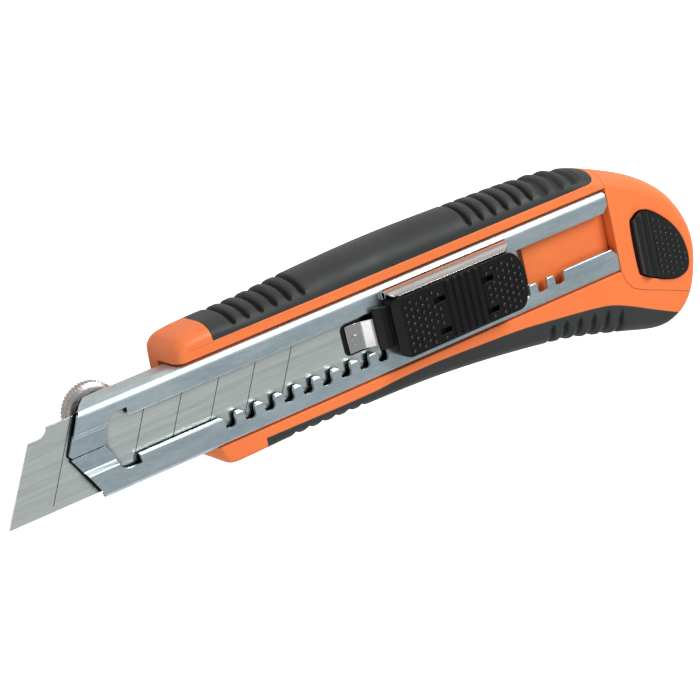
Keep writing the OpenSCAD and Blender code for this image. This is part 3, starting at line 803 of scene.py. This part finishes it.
def buildPad():
    front, rear, v0, v1 = pad["front"], pad["front"] + pad["length"], pad["v0"], pad["v0"] + pad["width"]
    base, top, deck = pad["base"], pad["top"], pad["top"] - pad["deckDrop"]
    corners = [(front, v0), (rear - 1.6, v0), (rear, v0 + 4), (rear, v1 - 4.2), (rear - 2.2, v1), (front, v1)]
    plan = roundCorners(corners, pad["corner"], 6)
    piece = extrude("thumb_pad_cover", plan, base, deck)
    wedge = [(front - 1, deck + 1), (front - 1, deck - 2.2), (front, deck - 1.6), (front + pad["frontSlope"], deck),
             (front + 3, deck + 1)]
    carve(piece, [extrude("tool", wedge, v0 - 1, v1 + 1, "v")])
    soften(piece, pad["edge"], 4, 25)
    ends = pad["ridgeInset"]
    for i in range(pad["ridges"]):
        d = pad["ridgeStart"] + (i + 0.5) * pad["ridgePitch"]
        ring = circle((d, top - pad["ridgeRadius"]), pad["ridgeRadius"] * 0.93, 28)
        ridge = extrude("tool", ring, v0 + ends, v1 - ends, "v")
        carve(piece, [soften(ridge, pad["ridgeEdge"], 3, 50)], "UNION")
    ends = pad["grooveInset"]
    for i in range(pad["ridges"] + 1):
        ring = circle((pad["ridgeStart"] + i * pad["ridgePitch"], deck), pad["grooveRadius"], 16)
        carve(piece, [extrude("tool", ring, v0 + ends, v1 - ends, "v")])
    length, width, depth = pad["pitSize"]
    for d, v in pad["pits"]:
        carve(piece, [block("tool", (d - length / 2, v - width / 2, top - depth),
                            (d + length / 2, v + width / 2, top + 1))])
    fromFront, fromRear, fromSides, depth = pad["hollow"]
    carve(piece, [block("tool", (front + fromFront, v0 + fromSides, base - 1),
                        (rear - fromRear, v1 - fromSides, base + depth))])
    area = inset(plan, pad["dotMargin"])

    def allowed(p):
        (clearD, clearV), (ridgesFrom, ridgesTo) = pad["dotClear"], pad["dotFree"]
        clear = all(abs(p[0] - d) > clearD or abs(p[1] - v) > clearV for d, v in pad["pits"])
        free = (p[0] < ridgesFrom or p[0] > ridgesTo) and p[0] > front + pad["dotEdge"]
        return clear and free and insideOutline(p, area)

    made = []
    for start in pad["dotFronts"]:
        made += dots((start, v0 + pad["dotV"]), pad["dotPitch"], pad["dotCount"], pad["dotRadius"], pad["dotHeight"],
                     deck, allowed)
    finishPiece(joinPieces(made[0], made[1:]), "slider", "black_gloss").name = "thumb_pad_dots"
    # black block under the pad's front: partly the carrier's front, partly painted shadow between the tab and the pad
    nose = soften(extrude("tool", pad["nose"], *pad["noseRun"], "v"), 0.25, 3, 25)
    # painted shadow: a thin black sheet under the spring tab's front
    tabShadowSheet = extrude("tool", pad["tabShadowSheet"], *pad["tabShadowHeights"])
    joinPieces(piece, [nose, tabShadowSheet])
    flatShade(piece)
    finishPiece(piece, "slider", "black_plastic", "thumb_pad")
    print("thumb pad built:", len(made), "dots")


clip = {
    "sheet": 0.5, "bend": 0.9,
    "path": [(88.2, 0.3), (91.8, 0.38), (94.9, 2.35)],  # d, w of the tab's middle, up to its flat end
    "tab": (6.3, 12.7, 99.5),
    "plate": ((99.0, 3.0, 2.1), (131.0, 16.9, 2.6)),
    "flange": [(15.9, 2.35), (18.0, 2.3), (17.85, 3.3), (17.2, 4.9), (16.35, 6.1)],  # v, w
    "flangeRun": (98.2, 133.0), "flangeSheet": 0.45, "flangeBend": 0.8,
    "frontRound": (2.6, 3.4), "rearRound": (3.6, 2.6),  # radius, and height of its centre
}


def sheetOutline(path, thick, radius):  # a bent strip's outline from its middle line
    line = [Vector(p) for p in roundCorners(path, radius, 8, False)]
    sides = ([], [])
    for i, p in enumerate(line):
        run = (line[min(i + 1, len(line) - 1)] - line[max(i - 1, 0)]).normalized()
        normal = Vector((-run.y, run.x)) * thick / 2
        sides[0].append(tuple(p + normal))
        sides[1].append(tuple(p - normal))
    return sides[0] + sides[1][::-1]


def buildClip():
    v0, v1, tabEnd = clip["tab"]
    path = clip["path"] + [(tabEnd, clip["path"][-1][1])]
    tab = extrude("slider_spring_plate", sheetOutline(path, clip["sheet"], clip["bend"]), v0, v1, "v")
    soften(tab, 0.12, 2, 60)
    plate = block("tool", *clip["plate"])
    start, end = clip["flangeRun"]
    flange = extrude("tool", sheetOutline(clip["flange"], clip["flangeSheet"], clip["flangeBend"]), start, end, "d")
    frontR, frontW = clip["frontRound"]
    rearR, rearW = clip["rearRound"]
    frontEnd = [(start - 1, 7), (start - 1, 1), (start, 1), *arc((start + frontR, frontW), frontR, 180, 95, 10),
                (start + 3.2, 7)]
    rearEnd = [(end + 1, 7), (end + 1, 1), (end, 1), *arc((end - rearR, rearW), rearR, 0, 85, 10), (end - 4.2, 7)]
    carve(flange, [extrude("tool", frontEnd, 10, 20, "v"), extrude("tool", rearEnd, 10, 20, "v")])
    soften(flange, 0.1, 2, 60)
    joinPieces(tab, [plate, flange])
    flatShade(tab)
    finishPiece(tab, "slider", "bright_steel", "slider_clip")
    print("slider clip built")


wheel = {
    "at": (29.2, 13.8), "radius": 6.9, "thick": 3.3, "hole": 2.0, "recess": 4.4,
    "teeth": 50, "knurlDepth": 0.36, "lead": 0.72, "knurlRows": 14, "columnsPerTooth": 6,
}


def buildWheel():
    low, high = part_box("clamp_wheel")
    top, bottom = (high.z - bladeHigh.z) / mm, (low.z - bladeHigh.z) / mm
    outer, recess, hole, rows = wheel["radius"], wheel["recess"], wheel["hole"], wheel["knurlRows"]
    columns = wheel["teeth"] * wheel["columnsPerTooth"]
    over = [(hole, top - 0.8), (recess - 0.25, top - 0.8), (recess, top - 0.6), (recess + 0.05, top - 0.15),
            (recess + 0.2, top), (outer - 1.15, top), (outer - 1.0, top - 0.06), (outer - 0.42, top - 0.5)]
    knurl = [(outer, top - 0.55 - (wheel["thick"] - 1.1) * k / (rows - 1)) for k in range(rows)]
    under = [(outer - 0.42, bottom + 0.5), (outer - 1.0, bottom + 0.06), (outer - 1.15, bottom), (recess + 0.2, bottom),
             (recess + 0.05, bottom + 0.15), (recess, bottom + 0.45), (recess - 0.2, bottom + 0.6),
             (hole, bottom + 0.6)]

    def wave(x):
        return abs((x % 1.0) * 2 - 1)

    rings = []
    for r, w in over + knurl + under:
        ring = []
        for i in range(columns):
            turn = i / columns
            radius = r
            if r == outer:  # two sets of slanting ridges that cross
                tooth, shift = turn * wheel["teeth"], (w - top) * wheel["lead"]
                radius = outer - wheel["knurlDepth"] * max(wave(tooth + shift), wave(tooth - shift))
            angle = 2 * math.pi * turn
            d, v = wheel["at"]
            ring.append(place(d + radius * math.cos(angle), v + radius * math.sin(angle), w))
        rings.append(ring)
    piece = loft("knurled_wheel", rings, closed=False, smoothAngle=24)
    finishPiece(piece, "screw", "knurled_steel", "clamp_wheel")
    print("clamp wheel built:", len(piece.data.polygons), "faces")


channel = {
    "sheet": 0.8, "bend": 2.2, "bellyBend": 1.1, "rear": 164.0, "front": 16.5,
    "window": (5.0, 14.0), "seam": 9.5, "seamGap": 0.12, "noseDrop": 1.0, "noseSlope": (4.7, 3.85),
    "noseEdge": [(10, -5), (22.3, -5), (22.3, -0.6), (22.0, 0.4), (17.8, 8.2), (17.3, 9.0), (17.5, 9.35), (18.0, 9.5),
                 (17.4, 9.7), (17.0, 10.3), (17.3, 11.0), (21.0, 18.4), (21.3, 22), (10, 22)],
    "windowFront": [(32.2, 15.9), (28.8, 15.9), (27.7, 15.2), (26.8, 13.6), (26.5, 11.6), (25.4, 9.5), (26.8, 7.0),
                    (27.1, 4.4), (27.8, 3.5), (29.2, 3.0), (32.2, 3.0)],
    "notchFirst": 54.65, "notchPitch": 5.1, "notchCount": 19, "notchWidth": 2.8, "notchDepth": 2.8,
    "edge": 0.09,
    "backRise": 0.8,  # how far the back stands above the lowest point of the CAD's channel
    "endDepth": 1.4,  # how far the slanting front cuts in from each side
    "screwHole": 3.25,
    # a thin black sheet just above the blade under the nose's edge, standing in for the shadow there: how far it
    # reaches ahead of and behind the edge, and its heights
    "shadowSheetReach": (0.4, 2.4), "shadowSheetHeights": (0.03, 0.17),
}


def channelSection():
    w0, w1 = slotFloor + channel["backRise"], lipTop
    sheet, seam = channel["sheet"], channel["seam"]
    far, near = channel["noseSlope"]
    low = w1 - channel["noseDrop"]
    gap = channel["seamGap"]

    def half(side):  # outer then inner line of one half, from the seam to the middle of the back
        edge, bend = (sideV1, channel["bend"]) if side > 0 else (sideV0, channel["bellyBend"])
        step = [(near - 0.25, low), (near + 0.1, low + 0.08), (far - 0.1, w1 - 0.08), (far + 0.25, w1)]
        under = [(near - 0.05, low - sheet), (near + 0.3, low - sheet + 0.08), (far + 0.1, w1 - sheet - 0.08),
                 (far + 0.45, w1 - sheet)]
        lines = []
        for start, rise, radius in ((low, step, bend), (low - sheet, under, bend - sheet)):
            line = [(seam + side * gap, start), *((seam + side * x, w) for x, w in rise)]
            line += arc((edge - side * bend, w1 - bend), radius, 90, 90 - side * 90, 12)
            line += arc((edge - side * bend, w0 + bend), radius, 90 - side * 90, 90 - side * 180, 12)
            lines.append(line)
        return lines

    outerA, innerA = half(-1)
    outerB, innerB = half(1)
    return outerA + outerB[::-1] + innerB + innerA[::-1]


def windowOutline():  # one outline for the window, its notches and its chamfered rear end
    v0, v1 = channel["window"]
    rear = channel["rear"]
    front = channel["windowFront"]
    outline = [(rear + 1, v1 + 2.6), (rear - 1.6, v1), (front[0][0], v1), *roundCorners(front, 0.8, 4, False),
               (front[-1][0], v0)]
    width, depth = channel["notchWidth"] / 2, channel["notchDepth"]
    for i in range(channel["notchCount"]):
        d = channel["notchFirst"] + i * channel["notchPitch"]
        shape = [(d - width - 0.7, v0), (d - width - 0.2, v0 - 0.2), (d - width, v0 - 0.7), (d - width, v0 - depth),
                 (d + width, v0 - depth), (d + width, v0 - 0.7), (d + width + 0.2, v0 - 0.2), (d + width + 0.7, v0)]
        outline += roundCorners(shape, 0.95, 4, False)
    return outline + [(rear - 1.6, v0), (rear + 1, v0 - 2.6)]


def buildChannel():
    back, sheet, deep = slotFloor + channel["backRise"], channel["sheet"], channel["endDepth"]
    piece = extrude("guide_channel", channelSection(), channel["front"], channel["rear"], "d")
    carve(piece, [extrude("tool", channel["noseEdge"], -1.6, 4), extrude("tool", windowOutline(), -0.2, 4)])
    slant = [(10, 4), (20.4, 4), (20.9, lipTop), (26.4, back + 1), (26.4, back + sheet + 0.1), (10, back + sheet + 0.1)]
    carve(piece, [extrude("tool", slant, sideV0 - 4, sideV0 + deep, "v"),
                  extrude("tool", slant, sideV1 - deep, sideV1 + 4, "v")])
    web = [(10, -5), (26.4, -5), (26.4, sideV0 + deep), (21.6, 4.2), (21.6, 14.2), (26.4, sideV1 - deep), (26.4, 25),
           (10, 25)]
    carve(piece, [extrude("tool", web, back - 1, back + sheet + 0.2),
                  extrude("tool", circle(wheel["at"], channel["screwHole"]), back - 1, back + sheet + 1),
                  *rivetHoles(rivets["radius"], back - 1, back + sheet + 1)])
    soften(piece, channel["edge"], 2, 45)
    flatShade(piece)
    finishPiece(piece, "handle", "plated_steel", "blade_channel")
    # painted shadow: a thin black sheet just above the blade, showing round the nose's edge under the channel's nose
    edge = [(d, v) for d, v in channel["noseEdge"][2:-2] if 0 < v < 19]
    ahead, behind = channel["shadowSheetReach"]
    rim = [(d - ahead, v) for d, v in edge] + [(d + behind, v) for d, v in reversed(edge)]
    finishPiece(extrude("nose_shadow_sheet", rim, *channel["shadowSheetHeights"]), "handle", "black_plastic")
    print("channel built:", len(piece.data.polygons), "faces")


buildHandle()
buildSpineGrip()
buildBellyGrip()
buildCap()
buildButton()
buildPad()
buildClip()
buildWheel()
buildChannel()

keptFinishes = {
    "blade_steel": ["working_blade", "spare_blade_1", "spare_blade_2", "spare_blade_3"],
    "bright_steel": ["channel_rivets", "follower_plate", "follower_spring", "blade_stud", "detent_spring", "clamp_boss",
                     "clamp_shoe", "clamp_stud", "button_spring"],
    "black_plastic": ["front_guide", "slider_carrier", "latch_arm"],
    "orange_plastic": ["magazine_tray", "magazine_deck"],
}
for slotName, names in keptFinishes.items():
    for name in names:
        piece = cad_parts[name]
        piece.data.materials.clear()
        piece.data.materials.append(finishes["scored_steel" if name == "working_blade" else slotName])
print("kept pieces finished")


floorLook = {
    "size": 3.0, "drop": 0.0002, "colour": (0.9, 0.9, 0.9), "cloud": (0.87, 0.87, 0.87), "roughness": (0.85, 0.95),
    "glow": (1.0, 1.0, 1.0), "bounce": (0.1, 0.1, 0.1),  # light given out, to the camera and to the knife
    "shade": (0.66, 0.635, 0.6),  # darker colour the floor shows in reflections and bounce light: painted shade in what the knife reflects
}


def buildStage():
    half, drop = floorLook["size"] / 2, -floorLook["drop"]
    points = [(-half, -half, drop), (half, -half, drop), (half, half, drop), (-half, half, drop)]
    floor = newPiece("floor", points, [(0, 1, 2, 3)])
    for polygon in floor.data.polygons:
        if polygon.normal.z < 0:
            floor.data.flip_normals()
            break
    material, tree, shader = newFinish("paleFloor", {"Roughness": 0.9, "Emission Strength": 1.0})
    low, high = floorLook["roughness"]
    marks = useGroup(tree, handlingGroup, {"Scale": 3, "From": low, "To": high})
    seen = addNode(tree, "ShaderNodeLightPath").outputs["Is Camera Ray"]
    pale = mixColour(tree, marks["Mask"], floorLook["colour"], floorLook["cloud"])
    # pale to the camera, darker in reflections and bounce light: painted shade in the knife's reflections
    tree.links.new(mixColour(tree, seen, floorLook["shade"], pale), shader.inputs["Base Color"])
    tree.links.new(mixColour(tree, seen, floorLook["bounce"], floorLook["glow"]), shader.inputs["Emission Color"])
    tree.links.new(marks["Value"], shader.inputs["Roughness"])
    floor.data.materials.append(material)


lights = {
    "key": {"towards": (-0.47, -0.57, 0.68), "distance": 0.75, "size": (0.3, 0.42), "power": 4.6,
            "colour": (1.0, 0.99, 0.98)},
    "front": {"towards": (0.75, 0.1, 0.65), "distance": 0.9, "size": (0.6, 0.6), "power": 1.6,
              "colour": (1.0, 1.0, 1.0)},
    "belly": {"towards": (0.05, 0.9, 0.42), "distance": 0.9, "size": (0.7, 0.4), "power": 1.6,
              "colour": (0.97, 0.99, 1.0)},
}
worldLook = {"colour": (0.93, 0.97, 1.0), "strength": 0.5}


def buildLights():
    for name, look in lights.items():
        data = bpy.data.lights.new(name, "AREA")
        data.shape = "RECTANGLE"
        data.size, data.size_y = look["size"]
        data.energy = look["power"]
        data.color = look["colour"]
        lamp = bpy.data.objects.new(name, data)
        scene.collection.objects.link(lamp)
        direction = Vector(look["towards"]).normalized()
        lamp.location = direction * look["distance"]
        lamp.rotation_mode = "QUATERNION"
        lamp.rotation_quaternion = (-direction).to_track_quat("-Z", "Y")
    world = bpy.data.worlds.new("studio")
    scene.world = world
    world.use_nodes = True
    background = world.node_tree.nodes["Background"]
    background.inputs["Color"].default_value = withAlpha(worldLook["colour"])
    background.inputs["Strength"].default_value = worldLook["strength"]


cameraSet = {
    "location": (0.26519, -0.16916, 0.47262), "aim": (0.00594, -0.00239, 0.0135), "roll": 104.448,
    "lens": 128.08, "sensor": 36.0, "clip": (0.01, 10.0),
}


def buildCamera():
    data = bpy.data.cameras.new("studioCamera")
    data.sensor_width = cameraSet["sensor"]
    data.lens = cameraSet["lens"]
    data.clip_start, data.clip_end = cameraSet["clip"]
    camera = bpy.data.objects.new("studioCamera", data)
    scene.collection.objects.link(camera)
    camera.location = cameraSet["location"]
    camera.rotation_mode = "QUATERNION"
    aimed = (Vector(cameraSet["aim"]) - camera.location).to_track_quat("-Z", "Y")
    camera.rotation_quaternion = aimed @ Quaternion((0, 0, 1), math.radians(cameraSet["roll"]))
    scene.camera = camera


buildStage()
buildLights()
buildCamera()
print("stage, lights and camera set")
